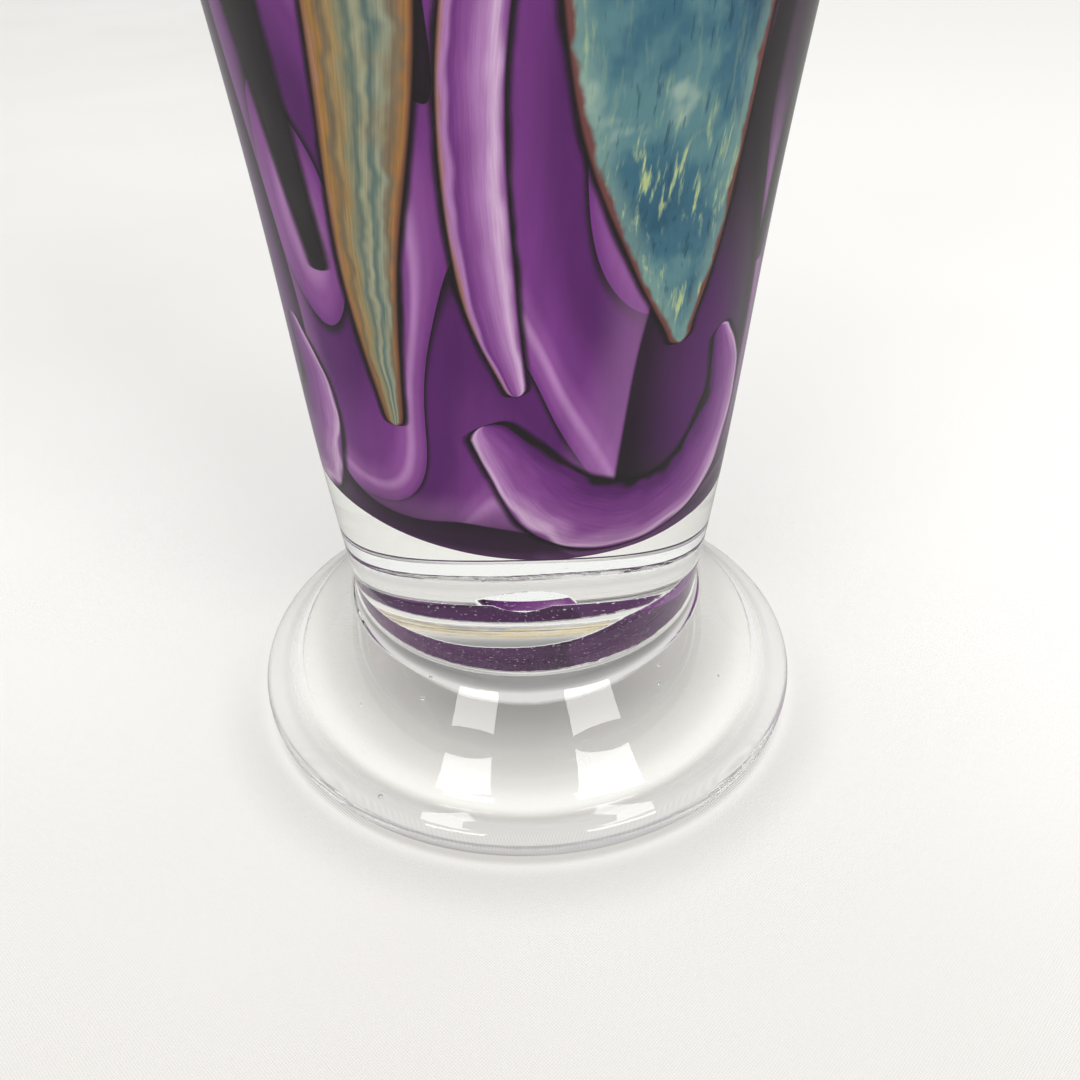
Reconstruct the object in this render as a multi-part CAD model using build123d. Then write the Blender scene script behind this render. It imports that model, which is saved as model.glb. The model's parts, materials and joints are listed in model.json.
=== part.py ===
"""Footed vase of hand blown art glass, in millimetres.

The vase stands on Z = 0 with its axis on Z, and -Y is its front. It is built as it is blown: a clear
inner gather, a dark ground glass over it, pieces of coloured glass laid on the ground, a thick clear casing
that ends in a solid block below the colour, and a clear foot that is bonded to the block while hot.
"""
from build123d import *
from math import atan2, cos, degrees, pi, radians, sin, sqrt
import os

# Outer shape of the body: radius at each height, from the joint with the foot to the mouth.
JOINT_HEIGHT = 31.8
JOINT_RADIUS = 43.4
COLOUR_EDGE_HEIGHT = 67.0
COLOUR_EDGE_RADIUS = 47.2
WAIST_HEIGHT = 120.0
WAIST_RADIUS = 51.1
SHOULDER_HEIGHT = 167.5
SHOULDER_RADIUS = 55.7
UPPER_HEIGHT = 235.0
UPPER_RADIUS = 65.0
VASE_HEIGHT = 300.0
MOUTH_RADIUS = 77.0
MOUTH_LEAN = 12.0

# Glass from the outside inwards.
CASING_WALL = 4.6
COLOUR_THICKNESS = 1.0
GROUND_THICKNESS = 0.8
GATHER_THICKNESS = 1.8

# Bottom of the bubble, from the joint upwards.
BLOCK_THICKNESS = 24.0
BUBBLE_CORNER = 31.0
GATHER_FLOOR = 4.0
BLOCK_EDGE_ROUND = 1.2

# Foot.
FOOT_RADIUS = 70.0
FOOT_COLLAR = 0.4
FOOT_FILLET = 5.5
FOOT_SLOPE = 42.0
RIM_ROUND = 4.2
RIM_SHOULDER_ANGLE = 62.0
CONTACT_RING_INNER = 58.0
HOLLOW_HEIGHT = 13.0
HOLLOW_EDGE_RISE = 1.1
HOLLOW_CROWN_RADIUS = 37.0
HOLLOW_CROWN_SHARE = 0.86

# Bond between block and foot: glass touches glass on the land, and thin air is trapped around it.
VOID_DEPTH = 0.5
BOND_RIM_WIDTH = 1.6
BOND_LAND_CENTRE = (-5.0, -1.0)
BOND_LAND_REACH = [28.0, 47.0, 33.0, 28.0, 28.0, 31.0, 29.0, 26.5, 25.5, 24.5, 25.0, 24.0]
POCKET_CENTRE = (0.0, 9.0)
POCKET_TURN = 80.0
POCKET_LENGTH = 16.0
POCKET_WIDTH = 9.5

TOTAL_WALL = CASING_WALL + COLOUR_THICKNESS + GROUND_THICKNESS + GATHER_THICKNESS
COLOUR_BOTTOM = JOINT_HEIGHT + BLOCK_THICKNESS
STATIONS = [
    (JOINT_HEIGHT, JOINT_RADIUS),
    (COLOUR_EDGE_HEIGHT, COLOUR_EDGE_RADIUS),
    (WAIST_HEIGHT, WAIST_RADIUS),
    (SHOULDER_HEIGHT, SHOULDER_RADIUS),
    (UPPER_HEIGHT, UPPER_RADIUS),
    (VASE_HEIGHT, MOUTH_RADIUS),
]

# Coloured pieces, each drawn flat as seen from outside, from its upper end to its lower end: (across, height,
# half width). Heights are shares of the coloured height above the colour's bottom, the rest is millimetres.
TEAL_PANEL = [(4, 0.93, 5), (0, 0.80, 15), (-3, 0.60, 20), (-2, 0.42, 17), (2, 0.30, 10), (4, 0.23, 3)]
AMBER_FEATHER = [(-6, 0.96, 3), (-1, 0.84, 7), (3, 0.66, 10), (0, 0.46, 9), (-5, 0.30, 6), (-4, 0.17, 2)]
LAVENDER_CANE = [(3, 0.96, 2), (-3, 0.80, 3.4), (2, 0.60, 4.2), (-3, 0.42, 5), (-2, 0.29, 4.6), (2, 0.21, 2)]
VIOLET_SCROLL = [(-26, 0.16, 4), (-15, 0.095, 8), (1, 0.07, 9.5), (15, 0.10, 8.5), (21, 0.165, 6), (18, 0.215, 3)]
BLACK_STREAK = [(2, 0.95, 2), (5, 0.80, 4), (1, 0.64, 5.5), (-3, 0.50, 4.5), (0, 0.38, 3), (3, 0.29, 1.5)]

# Where the coloured pieces lie: name, outline, direction in degrees from the front, mirrored or not, and
# shift upwards as a share of the coloured height. No two of them meet: the purple field runs between them.
LAYOUT = [
    ("teal_panel_front", TEAL_PANEL, 32, False, 0.01),
    ("teal_panel_rear", TEAL_PANEL, 152, False, -0.02),
    ("teal_panel_left", TEAL_PANEL, 268, False, 0.03),
    ("amber_feather_front", AMBER_FEATHER, -26, False, 0.0),
    ("amber_feather_right", AMBER_FEATHER, 95, True, -0.03),
    ("amber_feather_rear", AMBER_FEATHER, 214, False, 0.02),
    ("lavender_cane_front", LAVENDER_CANE, -4, False, 0.0),
    ("lavender_cane_right", LAVENDER_CANE, 119, False, 0.0),
    ("lavender_cane_rear", LAVENDER_CANE, 235, True, -0.01),
    ("violet_scroll_front", VIOLET_SCROLL, 30, False, 0.0),
    ("violet_scroll_rear", VIOLET_SCROLL, 158, True, 0.0),
    ("violet_scroll_left", VIOLET_SCROLL, 272, False, 0.0),
    ("black_streak_front", BLACK_STREAK, -50, False, 0.0),
    ("black_streak_right", BLACK_STREAK, 71, True, -0.02),
    ("black_streak_rear", BLACK_STREAK, 190, False, 0.02),
]
# Direction, in degrees from the front, where no coloured piece lies: the surfaces of revolution start there.
CLEAR_DIRECTION = 57.0
PIECE_SECTOR = 100.0
CUT_START = 0.2 * JOINT_RADIUS
CUT_REACH = 1.6 * MOUTH_RADIUS
OUTLINE_STEPS = 2
CASED_RUNS = 12


def point(radius, height):
    """A point of the section, which lies in the XZ plane."""
    return Vector(radius, 0, height)


def outer_slope(height):
    """Rise of the outer radius for each millimetre of height, between the stations around that height."""
    for (low, low_radius), (high, high_radius) in zip(STATIONS, STATIONS[1:]):
        if height <= high:
            return (high_radius - low_radius) / (high - low)
    return 0.0


def outer_radius(height):
    """Outer radius of the body at a height, straight between the stations."""
    for (low, low_radius), (high, high_radius) in zip(STATIONS, STATIONS[1:]):
        if height <= high:
            return low_radius + (high_radius - low_radius) * (height - low) / (high - low)
    return STATIONS[-1][1]


def mouth_point(inset):
    """Where a surface that lies inset inside the outer one meets the fire polished round of the mouth."""
    half = TOTAL_WALL / 2
    lean = radians(MOUTH_LEAN)
    share = max(-1.0, min(1.0, (half - inset) / half))
    along = half * sqrt(1 - share * share)
    radius = MOUTH_RADIUS - half + half * share * cos(lean) + along * sin(lean)
    height = VASE_HEIGHT - half - half * share * sin(lean) + along * cos(lean)
    return point(radius, height), along


def wall_curve(inset, bottom, corner):
    """Edges of a surface inside the outer one by inset, from the axis at its bottom up to the mouth.

    The outside and the inside are smooth. The surfaces between the glasses are cones in a row."""
    lean = atan2(outer_slope(bottom + corner), 1)
    start_height = bottom + corner * (1 - sin(lean))
    start_radius = outer_radius(start_height) - inset
    centre = start_radius - corner * cos(lean)
    middle = -(pi / 2 + lean) / 2
    start = point(start_radius, start_height)
    heel = point(centre + corner * cos(middle), bottom + corner + corner * sin(middle))
    floor_end = point(centre, bottom)
    top, along = mouth_point(inset)
    mouth_direction = Vector(sin(radians(MOUTH_LEAN)), 0, cos(radians(MOUTH_LEAN)))
    spline_end = top - mouth_direction * along
    clear = 0.25 * (WAIST_HEIGHT - COLOUR_EDGE_HEIGHT)
    between = [
        point(radius - inset, height)
        for height, radius in STATIONS[1:-1]
        if height > start_height + clear
    ]
    wall = Spline(
        start, *between, spline_end, tangents=[Vector(sin(lean), 0, cos(lean)), mouth_direction]
    )
    if 0 < inset < TOTAL_WALL:
        wall = Polyline(*[wall @ (run / CASED_RUNS) for run in range(CASED_RUNS + 1)])
    edges = [Line(point(0, bottom), floor_end), ThreePointArc(floor_end, heel, start), wall]
    if along > 0.01:
        edges.append(Line(spline_end, top))
    return edges


def mouth_arc(outer_inset, inner_inset):
    """The piece of the mouth's round between two surfaces of the wall."""
    half = TOTAL_WALL / 2
    start = degrees(atan2(sqrt(max(0, half**2 - (half - outer_inset) ** 2)), half - outer_inset))
    end = degrees(atan2(sqrt(max(0, half**2 - (half - inner_inset) ** 2)), half - inner_inset))
    middle = radians((start + end) / 2)
    lean = radians(MOUTH_LEAN)
    radius = MOUTH_RADIUS - half + half * (cos(middle) * cos(lean) + sin(middle) * sin(lean))
    height = VASE_HEIGHT - half + half * (sin(middle) * cos(lean) - cos(middle) * sin(lean))
    return ThreePointArc(mouth_point(outer_inset)[0], point(radius, height), mouth_point(inner_inset)[0])


def layer(outer, inner, start=CLEAR_DIRECTION, sweep=360.0):
    """The glass between two surfaces of the wall, each given as (inset, bottom, corner)."""
    closing = Line(point(0, outer[1]), point(0, inner[1]))
    section = [*wall_curve(*outer), mouth_arc(outer[0], inner[0]), *wall_curve(*inner), closing]
    return Rot(0, 0, start - 90) * revolve(make_face(section), Axis.Z, sweep)


def surfaces():
    """The five surfaces of the wall: outside, colour, ground, gather and the vase's inside."""
    colour_inset = CASING_WALL
    ground_inset = colour_inset + COLOUR_THICKNESS
    gather_inset = ground_inset + GROUND_THICKNESS
    colour = (colour_inset, COLOUR_BOTTOM, BUBBLE_CORNER)
    ground = (ground_inset, COLOUR_BOTTOM + COLOUR_THICKNESS, BUBBLE_CORNER - COLOUR_THICKNESS)
    gather_bottom = COLOUR_BOTTOM + COLOUR_THICKNESS + GROUND_THICKNESS
    gather_corner = BUBBLE_CORNER - COLOUR_THICKNESS - GROUND_THICKNESS
    gather = (gather_inset, gather_bottom, gather_corner)
    inside = (TOTAL_WALL, gather_bottom + GATHER_FLOOR, gather_corner - GATHER_THICKNESS)
    return (0.0, JOINT_HEIGHT, BLOCK_EDGE_ROUND), colour, ground, gather, inside


def smooth(points):
    """Points along a curve through the given ones, with OUTLINE_STEPS straight runs between two of them."""
    ends = [points[0], *points, points[-1]]
    curve = []
    for before, start, end, after in zip(ends, ends[1:], ends[2:], ends[3:]):
        for step in range(OUTLINE_STEPS):
            t = step / OUTLINE_STEPS
            curve.append(
                tuple(
                    b + t * (c - a) / 2 + t**2 * (a - 2.5 * b + 2 * c - d / 2) + t**3 * (1.5 * (b - c) + (d - a) / 2)
                    for a, b, c, d in zip(before, start, end, after)
                )
            )
    return [*curve, points[-1]]


def outline(points, mirrored, lift):
    """Closed outline of a coloured piece, on the plane where X is across and Y is height."""
    colour_height = VASE_HEIGHT - TOTAL_WALL - COLOUR_BOTTOM
    spine = smooth(
        [
            (-across if mirrored else across, COLOUR_BOTTOM + colour_height * (share + lift), half)
            for across, share, half in points
        ]
    )
    middle = [Vector(across, height) for across, height, half in spine]
    left = []
    right = []
    for index, place in enumerate(middle):
        run = (middle[min(index + 1, len(middle) - 1)] - middle[max(index - 1, 0)]).normalized()
        side = Vector(-run.Y, run.X) * spine[index][2]
        left.append(place + side)
        right.append(place - side)
    upper_tip = middle[0] + (middle[0] - middle[1]).normalized() * spine[0][2]
    lower_tip = middle[-1] + (middle[-1] - middle[-2]).normalized() * spine[-1][2]
    return Polyline(upper_tip, *left, lower_tip, *reversed(right), close=True)


def cutter(points, direction, mirrored, lift):
    """Prism with the outline of a coloured piece, reaching outwards through the wall."""
    turn = radians(direction)
    outward = Vector(sin(turn), -cos(turn), 0)
    across = Vector(cos(turn), sin(turn), 0)
    inner_plane = Plane(origin=outward * CUT_START, x_dir=across, z_dir=outward)
    face = inner_plane * make_face(outline(points, mirrored, lift))
    return extrude(face, amount=CUT_REACH, dir=outward)


def coloured_pieces(colour, ground):
    """Every piece of coloured glass, cut from one layer, and the purple field that fills what is left."""
    pieces = {}
    tools = []
    for name, points, direction, mirrored, lift in LAYOUT:
        tool = cutter(points, direction, mirrored, lift)
        sector = layer(colour, ground, direction - PIECE_SECTOR / 2, PIECE_SECTOR)
        pieces[name] = sector & tool
        tools.append(tool)
    pieces["purple_field"] = layer(colour, ground) - tools
    return pieces


def bond_land():
    """Outline of the patch where the block has run together with the foot, uneven as hot glass leaves it."""
    points = []
    for index, reach in enumerate(BOND_LAND_REACH):
        angle = 2 * pi * index / len(BOND_LAND_REACH)
        points.append(Vector(BOND_LAND_CENTRE[0] + reach * cos(angle), BOND_LAND_CENTRE[1] + reach * sin(angle), 0))
    land = make_face(Spline(*points, periodic=True))
    pocket = Pos(*POCKET_CENTRE) * Rot(0, 0, POCKET_TURN) * Ellipse(POCKET_LENGTH / 2, POCKET_WIDTH / 2)
    return land - pocket


def foot_section():
    """Half section of the foot: the flat top, the fillet, the slope, the round rim and the hollow below."""
    slope = radians(FOOT_SLOPE)
    neck = JOINT_RADIUS + FOOT_COLLAR
    fillet_top = point(neck, JOINT_HEIGHT)
    sweep = pi / 2 - slope
    centre = (neck + FOOT_FILLET, JOINT_HEIGHT)
    fillet_middle = point(centre[0] - FOOT_FILLET * cos(sweep / 2), centre[1] - FOOT_FILLET * sin(sweep / 2))
    fillet_end = point(centre[0] - FOOT_FILLET * cos(sweep), centre[1] - FOOT_FILLET * sin(sweep))
    shoulder = radians(RIM_SHOULDER_ANGLE)
    rim = (FOOT_RADIUS - RIM_ROUND, RIM_ROUND)
    rim_top = point(rim[0] + RIM_ROUND * cos(shoulder), rim[1] + RIM_ROUND * sin(shoulder))
    rim_nose = point(FOOT_RADIUS, RIM_ROUND)
    rim_bottom = point(rim[0], 0)
    top = Spline(
        fillet_end,
        rim_top,
        tangents=[Vector(cos(slope), 0, -sin(slope)), Vector(sin(shoulder), 0, -cos(shoulder))],
    )
    hollow = Spline(
        point(CONTACT_RING_INNER, 0),
        point(HOLLOW_CROWN_RADIUS, HOLLOW_HEIGHT * HOLLOW_CROWN_SHARE),
        point(0, HOLLOW_HEIGHT),
        tangents=[Vector(-1, 0, HOLLOW_EDGE_RISE), Vector(-1, 0, 0)],
    )
    return make_face(
        [
            Line(point(0, JOINT_HEIGHT), fillet_top),
            ThreePointArc(fillet_top, fillet_middle, fillet_end),
            top,
            ThreePointArc(rim_top, rim_nose, rim_bottom),
            Line(rim_bottom, point(CONTACT_RING_INNER, 0)),
            hollow,
            Line(point(0, HOLLOW_HEIGHT), point(0, JOINT_HEIGHT)),
        ]
    )


def make_foot():
    """Clear foot with the bond's land and its ring standing up to the block."""
    body = revolve(foot_section(), Axis.Z, 360)
    ring = JOINT_RADIUS - BLOCK_EDGE_ROUND - BOND_RIM_WIDTH
    void = Pos(0, 0, JOINT_HEIGHT - VOID_DEPTH) * extrude(Circle(ring) - bond_land(), amount=VOID_DEPTH)
    return body - void


def main():
    os.makedirs("parts", exist_ok=True)
    outside, colour, ground, gather, inside = surfaces()
    nodes = {
        "clear_casing": layer(outside, colour),
        "dark_ground": layer(ground, gather),
        "inner_gather": layer(gather, inside),
        "foot": make_foot(),
    }
    nodes.update(coloured_pieces(colour, ground))
    for name, shape in nodes.items():
        export_step(shape, f"parts/{name}.step")


main()
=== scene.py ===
"""Looks of the footed art glass vase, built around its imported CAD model. Metres, +Z up, front towards -Y."""
import json
from math import atan2, cos, pi, radians, sin, sqrt, tan

import bpy
import numpy as np
from mathutils import Matrix, Vector


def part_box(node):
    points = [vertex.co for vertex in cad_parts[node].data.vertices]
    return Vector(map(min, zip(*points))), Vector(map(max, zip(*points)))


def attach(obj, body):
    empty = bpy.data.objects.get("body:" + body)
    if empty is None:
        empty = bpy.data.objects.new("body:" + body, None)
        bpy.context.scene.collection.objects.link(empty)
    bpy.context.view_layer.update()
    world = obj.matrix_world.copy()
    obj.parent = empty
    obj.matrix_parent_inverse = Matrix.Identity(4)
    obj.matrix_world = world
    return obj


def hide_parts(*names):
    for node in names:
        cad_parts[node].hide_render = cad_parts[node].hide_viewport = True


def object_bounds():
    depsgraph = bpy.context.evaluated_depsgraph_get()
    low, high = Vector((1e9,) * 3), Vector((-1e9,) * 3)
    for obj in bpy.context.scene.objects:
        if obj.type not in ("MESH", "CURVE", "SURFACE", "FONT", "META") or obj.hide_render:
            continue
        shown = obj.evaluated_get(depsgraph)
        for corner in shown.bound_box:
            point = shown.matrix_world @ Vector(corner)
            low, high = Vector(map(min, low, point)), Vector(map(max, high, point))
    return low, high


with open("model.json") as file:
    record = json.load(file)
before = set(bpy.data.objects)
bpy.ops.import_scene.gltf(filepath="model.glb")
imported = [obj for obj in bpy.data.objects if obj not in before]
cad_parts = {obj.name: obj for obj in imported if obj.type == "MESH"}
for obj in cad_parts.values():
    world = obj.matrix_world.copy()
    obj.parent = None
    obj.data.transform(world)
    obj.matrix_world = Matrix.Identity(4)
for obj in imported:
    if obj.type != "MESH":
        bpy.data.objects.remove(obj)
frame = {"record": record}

CAD_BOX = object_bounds()
SLOTS = {entry["node"]: entry["material_slot"] for entry in frame["record"]["subparts"]}

# ---------------------------------------------------------------- sizes, from the frame where it has them
FOOT_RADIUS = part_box("foot")[1].x
JOINT_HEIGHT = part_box("foot")[1].z
VASE_HEIGHT = CAD_BOX[1].z
MOUTH_RADIUS = CAD_BOX[1].x
COLOUR_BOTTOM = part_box("purple_field")[0].z

JOINT_RADIUS = 0.0434
# Height and outer radius at each station of the body, and its lean outwards at the mouth.
STATIONS = [
    (JOINT_HEIGHT, JOINT_RADIUS),
    (0.067, 0.0472),
    (0.120, 0.0511),
    (0.1675, 0.0557),
    (0.235, 0.0650),
    (VASE_HEIGHT, MOUTH_RADIUS),
]
MOUTH_LEAN = radians(12)

# Layers of the wall, from the outside to the inside.
CASING_WALL = 0.0046
COLOUR_THICKNESS = 0.0010
GROUND_THICKNESS = 0.0008
GATHER_THICKNESS = 0.0018
TOTAL_WALL = CASING_WALL + COLOUR_THICKNESS + GROUND_THICKNESS + GATHER_THICKNESS
BUBBLE_CORNER = 0.031
GATHER_FLOOR = 0.004
BLOCK_EDGE_ROUND = 0.0012
# Clear glass reaches this deep into coloured glass, so that no air shows between them.
SINK = 0.0003
# The bubble's tilt to the right, the height where it has died out, and the margin round what it moves.
BUBBLE_TILT = 0.09
TILT_TOP = 0.130
TILT_MARGIN = 0.001

FOOT_COLLAR = 0.0004
FOOT_FILLET = 0.0055
FOOT_SLOPE = radians(42)
RIM_ROUND = 0.0042
RIM_SHOULDER = radians(62)
CONTACT_INNER = 0.058
HOLLOW_HEIGHT = 0.013
HOLLOW_CROWN = 0.037
# The hollow's steepness at the contact ring, and its crown's height and lean as shares of the whole.
HOLLOW_EDGE_SLOPE = 1.1
CROWN_HEIGHT = 0.86
CROWN_LEAN = 0.9
# Light that the hollow lets down to the floor, against the share of the way out to the contact ring.
HOLLOW_SHADE = [(0.0, 0.36), (0.30, 0.40), (0.52, 0.57), (0.76, 0.79), (0.88, 1.0)]
# Ground mark where the pontil rod was broken off. Its tones are painted: shade in its middle, rising to a
# painted bright ring of light at its edge.
PONTIL_RADIUS = 0.0315
PONTIL_SHADE_AND_RING = [(0.62, 0.33), (0.78, 0.39), (0.85, 0.47), (0.90, 0.60), (0.96, 0.80), (1.0, 0.80)]

SEGMENTS = 256
WALL_ROWS = 90
HEEL_ROWS = 14
LIP_ROWS = 12
MERGE_DISTANCE = 1e-7


# ---------------------------------------------------------------- sections
def cubic(t, start, end, start_run, end_run):
    """Value at t, from 0 to 1, of the cubic with the given ends and the given derivatives there."""
    return (
        (2 * t**3 - 3 * t**2 + 1) * start
        + (t**3 - 2 * t**2 + t) * start_run
        + (3 * t**2 - 2 * t**3) * end
        + (t**3 - t**2) * end_run
    )


def hermite(p, q, tangent_p, tangent_q, count):
    """Points of a cubic from p to q that leaves and arrives along unit tangents, without its last point."""
    p, q = np.array(p), np.array(q)
    length = np.linalg.norm(q - p)
    t = np.linspace(0, 1, count, endpoint=False)[:, None]
    return cubic(t, p, q, np.array(tangent_p) * length, np.array(tangent_q) * length)


def arc(centre, radius, start, end, count):
    """Points of an arc, both ends included."""
    angle = np.linspace(start, end, count)
    return np.column_stack([centre[0] + radius * np.cos(angle), centre[1] + radius * np.sin(angle)])


def spline_slopes(heights, radii, first, last):
    """Slopes of the smooth curve through the stations, with given slopes at both ends."""
    n = len(heights)
    a = np.zeros((n, n))
    b = np.zeros(n)
    a[0, 0] = a[-1, -1] = 1
    b[0], b[-1] = first, last
    h = np.diff(heights)
    d = np.diff(radii) / h
    for i in range(1, n - 1):
        a[i, i - 1], a[i, i], a[i, i + 1] = 1 / h[i - 1], 2 / h[i - 1] + 2 / h[i], 1 / h[i]
        b[i] = 3 * (d[i - 1] / h[i - 1] + d[i] / h[i])
    return np.linalg.solve(a, b)


HALF_WALL = TOTAL_WALL / 2
LIP_CENTRE = (MOUTH_RADIUS - HALF_WALL, VASE_HEIGHT - HALF_WALL)
LIP_OUTER = (LIP_CENTRE[0] + HALF_WALL * cos(MOUTH_LEAN), LIP_CENTRE[1] - HALF_WALL * sin(MOUTH_LEAN))
PROFILE_Z = np.array([z for z, _ in STATIONS[:-1]] + [LIP_OUTER[1]])
PROFILE_R = np.array([r for _, r in STATIONS[:-1]] + [LIP_OUTER[0]])
PROFILE_SLOPE = spline_slopes(
    PROFILE_Z, PROFILE_R, (PROFILE_R[1] - PROFILE_R[0]) / (PROFILE_Z[1] - PROFILE_Z[0]), tan(MOUTH_LEAN)
)


def body_radius(z):
    """Outer radius of the body at height z."""
    z = np.clip(np.asarray(z, float), PROFILE_Z[0], PROFILE_Z[-1])
    i = np.clip(np.searchsorted(PROFILE_Z, z, side="right") - 1, 0, len(PROFILE_Z) - 2)
    h = PROFILE_Z[i + 1] - PROFILE_Z[i]
    t = (z - PROFILE_Z[i]) / h
    return cubic(t, PROFILE_R[i], PROFILE_R[i + 1], PROFILE_SLOPE[i] * h, PROFILE_SLOPE[i + 1] * h)


def wall(inset, bottom, corner, sink=0.0):
    """Section of a surface inside the outer one, from the axis up to just below the mouth's round.

    A surface with a sink lies that much deeper than the inset, except at the mouth, where it meets it."""
    lean = atan2(body_radius(bottom + corner) - body_radius(bottom), corner)
    start_z = bottom + corner * (1 - sin(lean))
    start_r = float(body_radius(start_z)) - inset - sink
    centre = (start_r - corner * cos(lean), bottom + corner)
    floor = [(centre[0] * share, bottom) for share in (0.0, 0.3, 0.6, 0.85)]
    heel = arc(centre, corner, -pi / 2, -lean, HEEL_ROWS)
    offset = (HALF_WALL - inset) / HALF_WALL
    end_z = LIP_CENTRE[1] - (HALF_WALL - inset) * sin(MOUTH_LEAN)
    z = np.linspace(start_z, end_z, WALL_ROWS + 1)[1:]
    fade = np.clip((end_z - z) / (3 * SINK), 0, 1)
    # Towards the mouth a row follows the outside a little higher up, so that the last one ends at the lip.
    outside_z = np.minimum(z + (LIP_OUTER[1] - end_z) * (z / end_z) ** 8, LIP_OUTER[1])
    r = body_radius(outside_z) - inset - sink * fade
    r[-1] = LIP_CENTRE[0] + offset * HALF_WALL * cos(MOUTH_LEAN)
    return np.vstack([floor, heel, np.column_stack([r, z])])


def lip(outer_inset, inner_inset):
    """Section of the mouth's round between two insets, from the outer one to the inner one."""
    def angle(inset):
        return np.arccos(np.clip((HALF_WALL - inset) / HALF_WALL, -1, 1))
    first, last = angle(outer_inset) - MOUTH_LEAN, angle(inner_inset) - MOUTH_LEAN
    return arc(LIP_CENTRE, HALF_WALL, first, last, LIP_ROWS)


def shell_section(outer, inner, lip_insets):
    """Closed half section between two walls. It starts and ends on the axis, outside first."""
    return np.vstack([outer, lip(*lip_insets), inner[::-1]])


# ---------------------------------------------------------------- meshes
def add_mesh(name, vertices, faces):
    """Smooth shaded mesh object in the scene."""
    mesh = bpy.data.meshes.new(name)
    mesh.from_pydata([tuple(v) for v in vertices], [], faces)
    mesh.validate()
    mesh.polygons.foreach_set("use_smooth", [True] * len(mesh.polygons))
    obj = bpy.data.objects.new(name, mesh)
    bpy.context.scene.collection.objects.link(obj)
    return obj


def lathe(name, section, segments=SEGMENTS):
    """Body of revolution from a half section that starts and ends on the axis, its outside to the right."""
    points = [tuple(section[0])]
    for p in section[1:]:
        if np.hypot(p[0] - points[-1][0], p[1] - points[-1][1]) > MERGE_DISTANCE:
            points.append(tuple(p))
    rings = points[1:-1]
    turn = np.arange(segments) * 2 * pi / segments
    vertices = [(0, 0, points[0][1])]
    for r, z in rings:
        vertices += [(r * cos(a), r * sin(a), z) for a in turn]
    vertices.append((0, 0, points[-1][1]))
    last = len(vertices) - 1
    last_ring = last - segments
    faces = []
    for j in range(segments):
        k = (j + 1) % segments
        faces.append((0, 1 + k, 1 + j))
        faces.append((last, last_ring + j, last_ring + k))
    for i in range(len(rings) - 1):
        a = 1 + i * segments
        b = a + segments
        for j in range(segments):
            k = (j + 1) % segments
            faces.append((a + j, a + k, b + k, b + j))
    return add_mesh(name, vertices, faces)


def tilt_bubble(obj):
    """The bubble sits a little crooked in the block, lower on the right, and straight again above."""
    co = np.array([v.co for v in obj.data.vertices])
    inside = np.hypot(co[:, 0], co[:, 1]) < body_radius(co[:, 2]) - CASING_WALL + TILT_MARGIN
    above_block = co[:, 2] > COLOUR_BOTTOM - 2 * TILT_MARGIN
    fade = np.clip((TILT_TOP - co[:, 2]) / (TILT_TOP - COLOUR_BOTTOM), 0, 1) ** 2
    co[:, 2] -= BUBBLE_TILT * co[:, 0] * fade * inside * above_block
    obj.data.vertices.foreach_set("co", co.ravel())


def dress(obj, nodes, slot, *materials):
    """Finishes a piece of the vase: its tilt, its materials and what it stands for. The slot is not used."""
    if nodes != ["foot"]:
        tilt_bubble(obj)
    for material in materials:
        obj.data.materials.append(material)
    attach(obj, "root")
    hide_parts(*nodes)


# ---------------------------------------------------------------- materials
class Nodes:
    """Nodes of a material or a world, built in code. Inputs take numbers, tuples or other nodes' outputs."""

    def __init__(self, holder):
        holder.use_nodes = True
        self.tree = holder.node_tree
        self.tree.nodes.clear()

    def plug(self, value, socket):
        if isinstance(value, bpy.types.NodeSocket):
            self.tree.links.new(value, socket)
        else:
            socket.default_value = value

    def node(self, kind, inputs=None, output=0, **settings):
        made = self.tree.nodes.new("ShaderNode" + kind)
        for key, value in settings.items():
            setattr(made, key, value)
        for key, value in (inputs or {}).items():
            self.plug(value, made.inputs[key])
        return made.outputs[output]

    def end(self, kind, surface):
        """Gives the finished surface to an output node."""
        self.plug(surface, self.tree.nodes.new("ShaderNode" + kind).inputs["Surface"])

    def math(self, operation, *values, clamp=False):
        return self.node("Math", dict(enumerate(values)), operation=operation, use_clamp=clamp)

    def both(self, a, b):
        return self.math("MULTIPLY", a, b)

    def ray(self, kind):
        """1 where the light path is of this kind, otherwise 0."""
        return self.node("LightPath", output="Is " + kind + " Ray")

    def mirrored(self):
        """1 in reflections, 0 where something is seen directly or through glass."""
        return self.math("SUBTRACT", self.ray("Glossy"), self.ray("Transmission"), clamp=True)


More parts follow.
